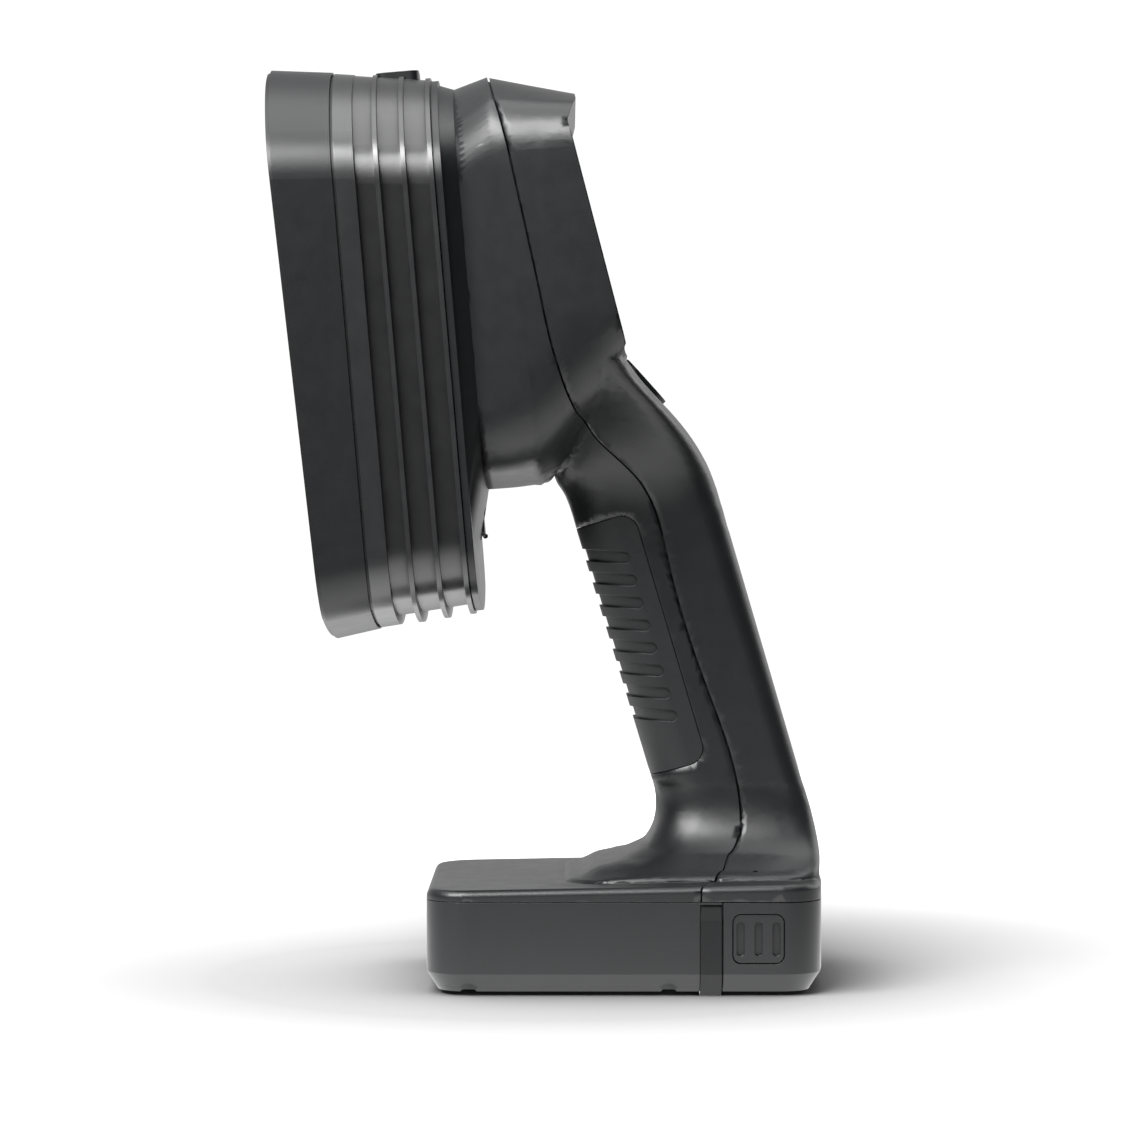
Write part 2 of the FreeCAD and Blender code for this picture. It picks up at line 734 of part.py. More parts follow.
def behind_seam(shift):
    """Space behind the parting line of the two housings, moved rearward; its foot runs out to the strap."""
    curve = Part.BSplineCurve()
    curve.interpolate([Vector(-90, y, z) for y, z in SEAM])
    start = Vector(-90, *SEAM[0])
    end = Vector(-90, *SEAM[-1])
    rear_low = Vector(-90, 120, SEAM_FOOT_Z)
    rear_high = Vector(-90, 120, 285)
    border = Part.Wire([curve.toShape(), Part.makeLine(end, rear_low),
                        Part.makeLine(rear_low, rear_high), Part.makeLine(rear_high, start)])
    upper = Part.Face(border).extrude(Vector(180, 0, 0))
    half = size("base_half_width")
    strap = size("strap_front_y")
    plan = [(-90, strap), (-half, strap), (-22, 57.6), (22, 57.6), (half, strap), (90, strap),
            (90, 120), (-90, 120)]
    corners = [Vector(x, y, 0) for x, y in plan]
    lower = Part.Face(Part.makePolygon(corners + corners[:1])).extrude(Vector(0, 0, SEAM_FOOT_Z))
    space = upper.fuse(lower)
    space.translate(Vector(0, shift, 0))
    return space


DISPLAY_MIDDLE = -30.5


def window_prism(width, length, low, high, radius=6.0):
    """Solid standing on the display plane, with local heights measured rearward."""
    curves = centred_rectangle(width, length, radius, middle_y=DISPLAY_MIDDLE)
    return prism(curves, -high, -low, DISPLAY_FRAME)


ACROSS = Placement(Vector(0, 0, 0), Rotation(0.5, 0.5, 0.5, 0.5))


def grip_core(inset):
    """The handle's skin from the shoulder down to the flare, drawn in by an inset."""
    return stack(SHOULDER, inset, False).fuse(stack(GRIP, inset, True))


def overlay_zone(gap):
    """Space of the grip overlay, a rounded patch wrapped round the front of the handle, with a gap round it."""
    patch = rounded_rectangle(-40.0, -4.2 + gap, -33.5 - gap, 43.0 + gap, 5.0 + gap)
    return prism(patch, -40.0, 40.0, HANDLE_FRAME.multiply(ACROSS))


def finger_slots():
    """Round-ended slots across the handle, nearly level, that stop short of the overlay's rear edge."""
    slots = []
    half = size("groove_width") / 2
    for index in range(8):
        rear_end = HANDLE_FRAME.multVec(Vector(0, -8.8, 30.3 - index * size("groove_pitch")))
        level = Placement(rear_end, Rotation(X_AXIS, -3.0)).multiply(ACROSS)
        slots.append(prism(rounded_rectangle(-40.0, 0.0, -half, half, half - 0.01), -40.0, 40.0, level))
    return Part.makeCompound(slots)


GRIP_SCREWS = (-20.0, 24.0)


def grip_tool(radius, p_low, p_high, q):
    """Cylinder along the handle's depth, from one depth to another."""
    cylinder = Part.makeCylinder(radius, p_high - p_low, Vector(0, p_low, q), Y_AXIS)
    cylinder.Placement = HANDLE_FRAME
    return cylinder


def housings():
    outer = housing_skin(0.0)
    inner = housing_skin(size("wall"))
    shell = outer.cut(inner)
    opening = prism(NECK_OPENING, -size("root_depth") - 6.0, -size("root_depth") + 1.0, RING_FRAME)
    frame_size = 2 * size("bezel_rim") + 0.3
    window = window_prism(size("glass_width") + frame_size, size("glass_length") + frame_size, -8.0, 4.0, 5.0)
    button_curves = centred_rectangle(size("thumb_width") + 0.8, size("thumb_length") + 0.8, 5.4)
    button_hole = prism(button_curves, -7.0, 8.0, THUMB_FRAME)
    core = grip_core(size("overlay_thickness"))
    zone = overlay_zone(size("overlay_gap")).cut(core)
    bosses = []
    holes = []
    for q in GRIP_SCREWS:
        bosses.append(grip_tool(4.2, -20.0, 20.5, q).common(inner))
        holes.append(grip_tool(size("screw_radius") + 0.05, -19.0, 12.5, q))
        holes.append(grip_tool(size("screw_head_radius") + 0.2, -24.0, -17.6, q))
    for x, y in COVER_SCREWS:
        foot = Vector(x, y, -size("root_depth") - 8.0)
        hole = Part.makeCylinder(size("screw_radius") + 0.05, 9.0, foot)
        hole.Placement = RING_FRAME
        holes.append(hole)
    for x, y in BASE_SCREWS:
        holes.append(Part.makeCylinder(size("screw_radius") + 0.05, 6.0, Vector(x, y, 23.7)))
    cable_opening = Part.makeBox(20.0, 16.0, 9.0, Vector(2.0, 36.0, 26.0))
    rear_space = behind_seam(0.0)
    groove = rear_space.cut(behind_seam(size("seam_gap"))).cut(housing_skin(size("seam_depth")))
    openings = [opening, window, button_hole, zone, cable_opening]
    shell = shell.multiFuse(bosses).cut(Part.makeCompound(openings + holes))
    overlay = outer.cut(core).common(overlay_zone(0.0))
    slots = finger_slots().cut(grip_core(size("groove_depth")))
    overlay = overlay.cut(slots)
    return shell.cut(rear_space), shell.common(rear_space).cut(groove), overlay


BASE_SCREWS = [(side * 44.6, y) for side in (-1, 1) for y in (-22.0, 36.0)]
FRONT_SHAPE, REAR_SHAPE, OVERLAY_SHAPE = housings()
feature("front_housing", FRONT_SHAPE)
feature("rear_housing", REAR_SHAPE)
feature("grip_overlay", OVERLAY_SHAPE)


def housing_fasteners():
    places = []
    for q in GRIP_SCREWS:
        local = Placement(Vector(0, -19.6 + size("screw_head_height"), q), Rotation(X_AXIS, 90))
        places.append(HANDLE_FRAME.multiply(local))
    feature("housing_screws", Part.makeCompound([screw(28.0, place) for place in places]))


housing_fasteners()


# ---------------------------------------------------------------- display and controls
def display():
    """Rim, glass and panel in the display face, and the main board in front of them."""
    rim = new_body("display_bezel", DISPLAY_FRAME)
    outer = [size("glass_width") + 2 * size("bezel_rim"), size("glass_length") + 2 * size("bezel_rim")]
    add_pad(rim, centred_rectangle(*outer, 4.6, DISPLAY_MIDDLE), "2.2", -0.4)
    opening = [size("glass_width") + 0.2, size("glass_length") + 0.2]
    add_pocket(rim, centred_rectangle(*opening, 3.1, DISPLAY_MIDDLE))
    glass = new_body("display_glass", DISPLAY_FRAME)
    add_pad(glass, centred_rectangle(size("glass_width"), size("glass_length"), 3.0, DISPLAY_MIDDLE),
            "sizes.glass_thickness")
    box_piece("lcd_module", ("sizes.glass_width - 3", "sizes.glass_length - 3", "sizes.lcd_thickness"),
              (1.5 - size("glass_width") / 2, DISPLAY_MIDDLE + 1.5 - size("glass_length") / 2,
               size("glass_thickness") + 0.2), DISPLAY_FRAME)
    box_piece("main_board", (92.0, 52.0, "sizes.board_thickness"),
              (-46, DISPLAY_MIDDLE - 26, 10.0), DISPLAY_FRAME)


display()


def push_switch(plunger_top, seat_height, board):
    """Small switch: a square case with a round plunger, on its own board when one is given."""
    case_top = plunger_top - 0.5
    shape = Part.makeBox(6.0, 6.0, case_top - seat_height, Vector(-3, -3, seat_height))
    shape = shape.fuse(Part.makeCylinder(1.7, 0.5, Vector(0, 0, case_top)))
    if board:
        width, length = board
        thickness = size("board_thickness")
        corner = Vector(-width / 2, -length / 2, seat_height - thickness)
        plate = Part.makeBox(width, length, thickness, corner)
        shape = shape.fuse(plate)
    return shape.removeSplitter()


SWITCH_GAP = 0.1


def controls():
    power = new_body("power_button", POWER_FRAME)
    sunk = size("power_sunk")
    add_pad(power, centred_rectangle(size("power_width"), size("power_length"), 2.5),
            "sizes.power_proud + sizes.power_sunk", -sunk)
    plunger_top = -sunk - size("power_travel") - SWITCH_GAP
    feature("power_switch", push_switch(plunger_top, -size("power_well"), None), POWER_FRAME)
    thumb = new_body("thumb_button", THUMB_FRAME)
    sunk = size("thumb_sunk")
    add_pad(thumb, centred_rectangle(size("thumb_width"), size("thumb_length"), 5.0),
            "sizes.thumb_proud + sizes.thumb_sunk", -sunk)
    plunger_top = -sunk - size("thumb_travel") - SWITCH_GAP
    feature("thumb_switch", push_switch(plunger_top, -sunk - 5.0, (18.0, 12.0)), THUMB_FRAME)


controls()


# ---------------------------------------------------------------- base
def tray_outline(inset):
    """Plan of the front of the base, straight where the battery cap meets it."""
    return half_base(inset, size("base_front_y"), 1, size("cap_front_y") - 0.3)


def cap_outline(inset):
    """Plan of the battery cap, straight at its front and bowed at its rear."""
    return half_base(inset, size("rear_y"), -1, size("cap_front_y"))


def half_base(inset, end_y, towards, cut_y):
    """Half of the base's plan: one rounded end, and a straight cut across."""
    bow = 0.0 if towards > 0 else size("rear_bow")
    half_width = size("base_half_width") - inset
    radius = size("base_corner_radius") - inset
    end = end_y + towards * inset
    shoulder = end + towards * bow
    turn = shoulder + towards * radius
    slant = math.sqrt(0.5) * radius
    middle = Vector(half_width - radius + slant, turn - towards * slant, 0)
    side = Vector(half_width, turn, 0)
    tip = Vector(half_width - radius, shoulder, 0)
    cut = Vector(half_width, cut_y, 0)
    if bow:
        across = Part.Arc(tip, Vector(0, end, 0), mirrored(tip))
    else:
        across = Part.LineSegment(tip, mirrored(tip))
    return [
        Part.LineSegment(cut, side),
        Part.Arc(side, middle, tip),
        across,
        Part.Arc(mirrored(tip), mirrored(middle), mirrored(side)),
        Part.LineSegment(mirrored(side), mirrored(cut)),
        Part.LineSegment(mirrored(cut), cut),
    ]


def closed_polygon(points):
    return [Part.LineSegment(start, end) for start, end in zip(points, points[1:] + points[:1])]


def strap_profile():
    """Section of the U-shaped strap: it wraps the sides and the underside of the base, with ramped ends."""
    half = size("base_half_width")
    thick = size("strap_thickness")
    proud = size("strap_proud")
    slope = size("base_chamfer")
    rise = size("base_chamfer_height")
    top = size("strap_top_z")
    outer = [(half - thick + 0.4, top), (half + proud, top - size("strap_ramp_height")),
             (half + proud, rise), (half - slope + proud, 0.0)]
    inner = [(half - slope - 0.5 * thick, thick), (half - thick, rise + 0.5 * thick), (half - thick, top)]
    right = [Vector(x, z, 0) for x, z in outer + inner]
    left = [mirrored(point) for point in right]
    corner_count = len(outer)
    outside = right[:corner_count] + left[corner_count - 1::-1]
    inside = left[:corner_count - 1:-1] + right[corner_count:]
    order = outside + inside
    return closed_polygon(order)


def chamfered_block(label, outline, top):
    """Block of the base's plan with its lower edge chamfered."""
    body = new_body(label, Placement())
    lift = size("base_lift")
    rise = size("base_chamfer_height")
    slope = size("base_chamfer") * (1 - lift / rise)
    add_loft(body, [(outline(slope), lift), (outline(0.0), rise), (outline(0.0), top)])
    return body


def base():
    wall = size("wall")
    tray = chamfered_block("base_tray", tray_outline, size("parting_z") - 0.2)
    front = size("base_front_y") + wall
    rear = size("cap_front_y") + 5
    half = size("base_half_width") - wall
    bay = rounded_rectangle(-half, half, front, rear, size("base_corner_radius") - wall, 1.0)
    add_pocket(tray, bay, "30", 32.8)
    for x, y in BASE_SCREWS:
        add_pad(tray, [circle(x, y, 3.6)], "sizes.parting_z - 2.2", 2.0)
    add_pocket(tray, [circle(x, y, size("screw_radius") + 0.1) for x, y in BASE_SCREWS])
    add_pocket(tray, [circle(x, y, size("screw_head_radius") + 0.2) for x, y in BASE_SCREWS], "4", 4.0)
    strap_y = size("strap_front_y")
    upright = Rotation(X_AXIS, 90)
    add_pocket(tray, strap_cutter(), "sizes.strap_width", Placement(Vector(0, strap_y, 0), upright))

    strap = new_body("retaining_strap", Placement())
    add_pad(strap, strap_profile(), "sizes.strap_width - 0.2",
            Placement(Vector(0, strap_y + 0.1, 0), upright), backward=True)

    screws = [Placement(Vector(x, y, 4.0 - 0.1), Rotation(X_AXIS, 180)) for x, y in BASE_SCREWS]
    feature("base_screws", Part.makeCompound([screw(25.6, place) for place in screws]))
    foot = new_body("front_foot", Placement())
    add_pad(foot, centred_rectangle(60.0, 8.0, 3.9, size("base_front_y") + 14.0), "sizes.base_lift")


def strap_cutter():
    """Closed outline round the outside of the base that leaves the strap's seat."""
    half = size("base_half_width")
    thick = size("strap_thickness") + 0.05
    rise = size("base_chamfer_height")
    slope = size("base_chamfer")
    top = size("strap_top_z") + 0.1
    seat = [(half - slope - 0.5 * thick, thick), (half - thick, rise + 0.5 * thick), (half - thick, top)]
    out = [(half + 3, top), (half + 3, -3.0)]
    right = [Vector(x, z, 0) for x, z in seat + out]
    return closed_polygon(right + [mirrored(point) for point in reversed(right)])


base()


def battery():
    """Pack that slides out to the rear: cap, case, lid, cells, board and contacts."""
    wall = size("wall")
    cap = chamfered_block("battery_cap", cap_outline, size("parting_z") - 0.3)
    half = size("base_half_width") - wall
    inside = rounded_rectangle(-half, half, size("cap_front_y") - 5, size("rear_y") - wall - 2.2,
                               1.0, size("base_corner_radius") - wall)
    add_pocket(cap, inside, "sizes.case_top_z + 0.2 - sizes.case_low_z", size("case_top_z") + 0.2)
    latch_hole = centred_rectangle(size("latch_length") + 0.6, size("latch_height") + 0.6, 2.6)
    for side in (-1, 1):
        turned = Placement(Vector(side * 45.0, size("latch_middle_y"), size("latch_middle_z")),
                           Rotation(Vector(1, 1, 1), 120))
        hole = add_pocket(cap, latch_hole, "12", turned)
        hole.Midplane = True

    low, top, skin = size("case_low_z"), size("case_top_z"), size("case_wall")
    half = size("case_half_width")
    front, rear = size("case_front_y"), size("case_rear_y")
    case = new_body("battery_case", Placement())
    add_pad(case, rounded_rectangle(-half, half, front, rear, 3.0),
            "sizes.case_top_z - sizes.case_low_z - sizes.case_wall", low + 0.1)
    add_pocket(case, rounded_rectangle(-half + skin, half - skin, front + skin, rear - skin, 1.6),
               "40", low + 0.1 + skin + 40)
    lid = new_body("battery_lid", Placement())
    add_pad(lid, rounded_rectangle(-half, half, front, rear, 3.0), "sizes.case_wall - 0.1", top - skin + 0.1)
    floor = low + 0.1 + skin
    cells = []
    for index in range(4):
        x = (index - 1.5) * 19.0
        cells.append(Part.makeCylinder(size("cell_radius"), size("cell_length"),
                                       Vector(x, -10.0, floor + 0.1 + size("cell_radius")), Y_AXIS))
    feature("battery_cells", Part.makeCompound(cells))
    box_piece("battery_board", (70.0, 1.6, 15.0), (-35, -16.0, floor + 1.0))
    contacts = [Part.makeBox(3.0, 0.8, 8.0, Vector((index - 2) * 7.0 - 1.5, front - 0.8, 10.0))
                for index in range(5)]
    feature("battery_contacts", Part.makeCompound(contacts))
    socket = Part.makeBox(42.0, 7.0, 16.0, Vector(-21, size("base_front_y") + wall + 0.1, 4.0))
    fingers = [Part.makeBox(2.0, 1.6, 6.0, Vector((index - 2) * 7.0 - 1.0, front - 3.0, 11.0))
               for index in range(5)]
    feature("battery_socket", socket.multiFuse(fingers).removeSplitter())


battery()


def latches():
    """Grip pads in the cap's sides, each on a short spring."""
    for side, name in ((-1, "left"), (1, "right")):
        face = size("base_half_width") - 0.3
        place = Placement(Vector(side * face, size("latch_middle_y"), size("latch_middle_z")),
                          Rotation(Vector(0, 0, 1), 0 if side > 0 else 180).multiply(
                              Rotation(0.5, 0.5, 0.5, 0.5)))
        latch = new_body("latch_" + name, place)
        depth = size("latch_depth")
        add_pad(latch, centred_rectangle(size("latch_length"), size("latch_height"), 2.3),
                "sizes.latch_depth", -depth)
        pitch = size("latch_slot_pitch")
        for index in range(3):
            slot = rounded_rectangle(
                (index - 1) * pitch - size("latch_slot") / 2, (index - 1) * pitch + size("latch_slot") / 2,
                -5.0, 5.0, 1.1)
            add_pocket(latch, slot, "1.2")
        coil_length = size("latch_spring_length")
        foot = Vector(0, 0, -depth - coil_length - SWITCH_GAP)
        coil = Part.makeCylinder(2.6, coil_length, foot).cut(Part.makeCylinder(1.8, coil_length, foot))
        feature("latch_spring_" + name, coil, place)


latches()


def rounded_path(points, radius):
    """Straight runs joined by tangent arcs."""
    edges = []
    start = points[0]
    for before, corner, after in zip(points, points[1:], points[2:]):
        back = (before - corner).normalize()
        ahead = (after - corner).normalize()
        half_turn = (math.pi - back.getAngle(ahead)) / 2
        reach = min(radius * math.tan(half_turn),
                    0.45 * min((before - corner).Length, (after - corner).Length))
        true_radius = reach / math.tan(half_turn)
        first = corner + back * reach
        last = corner + ahead * reach
        bisector = (back + ahead).normalize()
        centre_gap = true_radius / math.cos(half_turn)
        middle = corner + bisector * (centre_gap - true_radius)
        edges.append(Part.makeLine(start, first))
        edges.append(Part.Arc(first, middle, last).toShape())
        start = last
    edges.append(Part.makeLine(start, points[-1]))
    return Part.Wire(edges)


def wire_harness():
    """Cable from the battery socket, over the battery and up the handle to the main board."""
    route = [Vector(12, -27, 20.2), Vector(12, -27, 26.3), Vector(12, 40, 26.3), Vector(10, 51, 46),
             Vector(9, 45, 92), Vector(9, 29, 140), Vector(9, 10, 164), Vector(9, 12.0, 187.0)]
    path = rounded_path(route, 14.0)
    ring = Part.Wire(Part.makeCircle(size("harness_radius"), route[0], Z_AXIS))
    feature("wire_harness", path.makePipeShell([ring], True, False))


wire_harness()


# ---------------------------------------------------------------- checks and export
doc.recompute()
for item in doc.Objects:
    if "Invalid" in item.State or "Error" in item.State:
        raise RuntimeError(f"{item.Label} failed: {item.State}")
os.makedirs("parts", exist_ok=True)
for piece in pieces:
    if piece.Shape.isNull() or not piece.Shape.isValid():
        raise RuntimeError(f"{piece.Label} has no valid shape")
for piece in pieces:
    piece.Shape.exportStep(os.path.join("parts", piece.Label + ".step"))
    print(piece.Label, round(piece.Shape.Volume), len(piece.Shape.Solids))
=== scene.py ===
import json
import math

import bmesh
import bpy
import numpy as np
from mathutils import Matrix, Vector
from mathutils.kdtree import KDTree


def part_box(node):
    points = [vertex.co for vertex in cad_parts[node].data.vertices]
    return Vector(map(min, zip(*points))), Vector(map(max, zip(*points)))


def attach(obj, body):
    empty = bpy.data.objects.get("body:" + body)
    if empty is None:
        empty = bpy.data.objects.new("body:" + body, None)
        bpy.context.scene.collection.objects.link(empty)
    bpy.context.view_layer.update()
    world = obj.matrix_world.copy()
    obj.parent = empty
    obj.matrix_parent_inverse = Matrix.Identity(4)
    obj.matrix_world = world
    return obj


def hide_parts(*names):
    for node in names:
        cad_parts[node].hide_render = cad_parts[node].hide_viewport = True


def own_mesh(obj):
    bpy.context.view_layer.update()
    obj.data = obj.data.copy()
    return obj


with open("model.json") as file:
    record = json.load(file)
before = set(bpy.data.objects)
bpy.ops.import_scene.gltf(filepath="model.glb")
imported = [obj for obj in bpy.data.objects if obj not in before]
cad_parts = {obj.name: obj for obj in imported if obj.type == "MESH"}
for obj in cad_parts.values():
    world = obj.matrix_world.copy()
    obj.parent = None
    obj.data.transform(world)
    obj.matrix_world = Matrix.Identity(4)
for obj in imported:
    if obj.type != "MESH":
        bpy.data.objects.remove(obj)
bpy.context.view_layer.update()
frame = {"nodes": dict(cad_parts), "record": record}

NODES = frame["nodes"]
MM = 0.001


# ---------------------------------------------------------------- materials
EDGE_RADIUS = 0.25 * MM
GRAIN_DEPTH = 0.08 * MM
MOTTLE_SCALE = 60.0
GLOSS_SCALE = 180.0
GLOSS_SPREAD = 0.05
# Reach and level of the painted shade that darkens the colour in recesses, such as between the heat
# sink's fins.
FIN_SPACE = 7 * MM
RECESS_SHADE_LEVEL = 0.05
SHELL = (0.0052, 0.0057, 0.0064)


def new_material(name):
    """Empty node material: returns (material, node tree, shader)."""
    material = bpy.data.materials.new(name)
    material.use_nodes = True
    tree = material.node_tree
    shader = tree.nodes["Principled BSDF"]
    return material, tree, shader


def noise(tree, scale, detail=4.0):
    """Noise over the object's own metres."""
    coords = tree.nodes.new("ShaderNodeTexCoord")
    texture = tree.nodes.new("ShaderNodeTexNoise")
    texture.inputs["Scale"].default_value = scale
    texture.inputs["Detail"].default_value = detail
    texture.inputs["Roughness"].default_value = 0.6
    tree.links.new(coords.outputs["Object"], texture.inputs["Vector"])
    return texture.outputs["Fac"]


def ramp(tree, value, low, high, low_colour, high_colour):
    """Colour that goes from one to the other as a value rises."""
    node = tree.nodes.new("ShaderNodeValToRGB")
    node.color_ramp.elements[0].position = low
    node.color_ramp.elements[0].color = (*low_colour, 1)
    node.color_ramp.elements[1].position = high
    node.color_ramp.elements[1].color = (*high_colour, 1)
    tree.links.new(value, node.inputs["Fac"])
    return node.outputs["Color"]


def spread(tree, value, low, high, start=0.0, end=1.0):
    """Value stretched from start..end to low..high, and held at those beyond."""
    node = tree.nodes.new("ShaderNodeMapRange")
    node.inputs["From Min"].default_value = start
    node.inputs["From Max"].default_value = end
    node.inputs["To Min"].default_value = low
    node.inputs["To Max"].default_value = high
    tree.links.new(value, node.inputs["Value"])
    return node.outputs["Result"]


def add_grain(tree, shader, value, strength):
    """Fine grain over edges that are softly rounded."""
    edge = tree.nodes.new("ShaderNodeBevel")
    edge.samples = 4
    edge.inputs["Radius"].default_value = EDGE_RADIUS
    bump = tree.nodes.new("ShaderNodeBump")
    bump.inputs["Strength"].default_value = strength
    bump.inputs["Distance"].default_value = GRAIN_DEPTH
    tree.links.new(value, bump.inputs["Height"])
    tree.links.new(edge.outputs["Normal"], bump.inputs["Normal"])
    tree.links.new(bump.outputs["Normal"], shader.inputs["Normal"])


def painted_recess_shade(tree, colour, reach, dark):
    """The colour with painted shade: darker where the surface is closed in within a reach."""
    closed = tree.nodes.new("ShaderNodeAmbientOcclusion")
    closed.samples = 8
    closed.only_local = True
    closed.inputs["Distance"].default_value = reach
    shade = spread(tree, closed.outputs["AO"], dark, 1.0, 0.45, 0.95)
    mix = tree.nodes.new("ShaderNodeMix")
    mix.data_type = "RGBA"
    mix.inputs["A"].default_value = (0, 0, 0, 1)
    tree.links.new(shade, mix.inputs["Factor"])
    tree.links.new(colour, mix.inputs["B"])
    return mix.outputs["Result"]


def scaled(colour, factor):
    """The colour, lighter or darker."""
    return tuple(channel * factor for channel in colour)


def moulded(name, colour, roughness, grain, bump, metallic=0.0, specular=0.5, shade_reach=None):
    """Moulded or cast surface: faint mottling, a fine spark-eroded grain, slightly uneven gloss and,
    where a reach is given, painted shade in its recesses.
    """
    material, tree, shader = new_material(name)
    mottle = noise(tree, MOTTLE_SCALE, 3.0)
    tint = ramp(tree, mottle, 0.3, 0.7, scaled(colour, 0.9), scaled(colour, 1.1))
    # Painted shade: the colour is darkened where the surface is closed in.
    if shade_reach:
        tint = painted_recess_shade(tree, tint, shade_reach, RECESS_SHADE_LEVEL)
    tree.links.new(tint, shader.inputs["Base Color"])
    gloss = spread(tree, noise(tree, GLOSS_SCALE), roughness - GLOSS_SPREAD, roughness + GLOSS_SPREAD)
    tree.links.new(gloss, shader.inputs["Roughness"])
    shader.inputs["Metallic"].default_value = metallic
    shader.inputs["Specular IOR Level"].default_value = specular
    add_grain(tree, shader, noise(tree, grain, 2.0), bump)
    return material


MATERIALS = {
    "panel_black": moulded("panel_black", (0.004, 0.004, 0.0045), 0.40, 2500.0, 0.25),
    "membrane": moulded("membrane", (0.015, 0.015, 0.015), 0.9, 3500.0, 0.6),
    "circuit_board": moulded("circuit_board", (0.01, 0.07, 0.03), 0.35, 900.0, 0.2),
    "metal_part": moulded("metal_part", (0.55, 0.55, 0.55), 0.3, 900.0, 0.1, metallic=1.0),
    "clear_glass": moulded("clear_glass", (0.02, 0.02, 0.03), 0.05, 50.0, 0.0),
    "shell_plastic": moulded("shell_plastic", SHELL, 0.39, 2600.0, 0.3),
    # Cast aluminium carries painted shade between its fins.
    "cast_aluminium": moulded("cast_aluminium", (0.006, 0.0065, 0.0072), 0.34, 2200.0, 0.25, specular=1.0,
                              shade_reach=FIN_SPACE),
    "soft_rubber": moulded("soft_rubber", (0.0062, 0.0067, 0.0075), 0.46, 2000.0, 0.4),
    "chip_black": moulded("chip_black", (0.015, 0.015, 0.015), 0.5, 1500.0, 0.2),
    "steel": moulded("steel", (0.5, 0.5, 0.5), 0.3, 900.0, 0.1, metallic=1.0),
    "trim_plastic": moulded("trim_plastic", SHELL, 0.40, 2400.0, 0.25),
    "display_glass": moulded("display_glass", (0.004, 0.004, 0.005), 0.06, 50.0, 0.0),
    "strap_rubber": moulded("strap_rubber", (0.004, 0.0043, 0.0048), 0.42, 2000.0, 0.3, specular=0.3),
    "case_plastic": moulded("case_plastic", (0.03, 0.03, 0.033), 0.55, 1800.0, 0.3),
    "cell_wrap": moulded("cell_wrap", (0.05, 0.12, 0.3), 0.3, 400.0, 0.1),
    "gold_contact": moulded("gold_contact", (0.8, 0.55, 0.2), 0.25, 900.0, 0.1, metallic=1.0),
    "cable": moulded("cable", (0.01, 0.01, 0.01), 0.6, 2600.0, 0.5),
}
for entry in frame["record"]["subparts"]:
    node = NODES[entry["node"]]
    node.data.materials.clear()
    node.data.materials.append(MATERIALS[entry["material_slot"]])


# ---------------------------------------------------------------- moulded skins of the two housings
# Heights in millimetres between which the housings blend: start, full, waning, end.
SHOULDER_BAND = (139.0, 149.0, 190.0, 206.0)
SIDE_BAND = (186.0, 200.0, 250.0, 262.0)
FOOT_BAND = (27.0, 31.0, 51.0, 60.0)
SIDE_SHARE = 0.25
# Half width, front and rear of the foot; its rim stays crisp over the first millimetres inward.
FOOT_HALF_WIDTH, FOOT_FRONT, FOOT_REAR = 50.0, -34.5, 82.5
FOOT_RIM = (4.0, 11.0)
# Planes as a point and an inward normal, in depth and height: the display's face and the head's front.
DISPLAY_PLANE = ((7.4, 249.0), (-0.9677, -0.2521))
HEAD_PLANE = ((-82.0, 272.9), (0.9965, 0.0837))
DISPLAY_RIM = (1.0, 8.0)
BELOW_DISPLAY = (190.0, 178.0)
NECK_ROOT = (56.0, 68.0)
THUMB_BUTTON = (28.9, 178.2)
THUMB_SURROUND = (15.0, 22.0)

BLANK_VOXEL = 1.3 * MM
RELAX_STEP = 0.5
DENOISE_ROUNDS = 6
FILLET_ROUNDS = 90
LONGEST_EDGE = 3.2 * MM
HALVINGS = 5
NEIGHBOURS = 10
SHARP_SKIN = math.radians(30)


def ease(value, low, high):
    """0 below low, 1 above high and smooth between, either way round."""
    t = np.clip((value - low) / (high - low), 0.0, 1.0)
    return t * t * (3.0 - 2.0 * t)


def band(value, start, full, waning, end):
    """1 from full to waning, 0 before start and past end, and smooth between."""
    return ease(value, start, full) * ease(value, end, waning)


def depth_past(plane, y, z):
    """Distance beyond a plane along its normal."""
    (plane_y, plane_z), (normal_y, normal_z) = plane
    return normal_y * (y - plane_y) + normal_z * (z - plane_z)


def softness(points):
    """How freely each point of the housings may blend, from 0 at crisp details to 1 at the fillets."""
    x, y, z = points.T / MM
    inward = np.minimum(np.minimum(FOOT_HALF_WIDTH - np.abs(x), y - FOOT_FRONT), FOOT_REAR - y)
    foot = band(z, *FOOT_BAND) * ease(inward, *FOOT_RIM)
    side = SIDE_SHARE * band(z, *SIDE_BAND)
    free = np.maximum(np.maximum(band(z, *SHOULDER_BAND), side), foot)
    free *= np.maximum(ease(depth_past(DISPLAY_PLANE, y, z), *DISPLAY_RIM), ease(z, *BELOW_DISPLAY))
    free *= ease(depth_past(HEAD_PLANE, y, z), *NECK_ROOT)
    button = np.sqrt(x * x + (y - THUMB_BUTTON[0]) ** 2 + (z - THUMB_BUTTON[1]) ** 2)
    return free * ease(button, *THUMB_SURROUND)


def relaxed(points, edges, amount, rounds):
    """Points after each has moved towards the mean of its neighbours a number of times."""
    first, second = edges.T
    count = len(points)
    degree = np.bincount(first, minlength=count) + np.bincount(second, minlength=count)
    points = points.copy()
    for _ in range(rounds):
        total = np.empty_like(points)
        for axis in range(3):
            total[:, axis] = (np.bincount(first, weights=points[second, axis], minlength=count)
                              + np.bincount(second, weights=points[first, axis], minlength=count))
        points += (total / degree[:, None] - points) * amount[:, None]
    return points


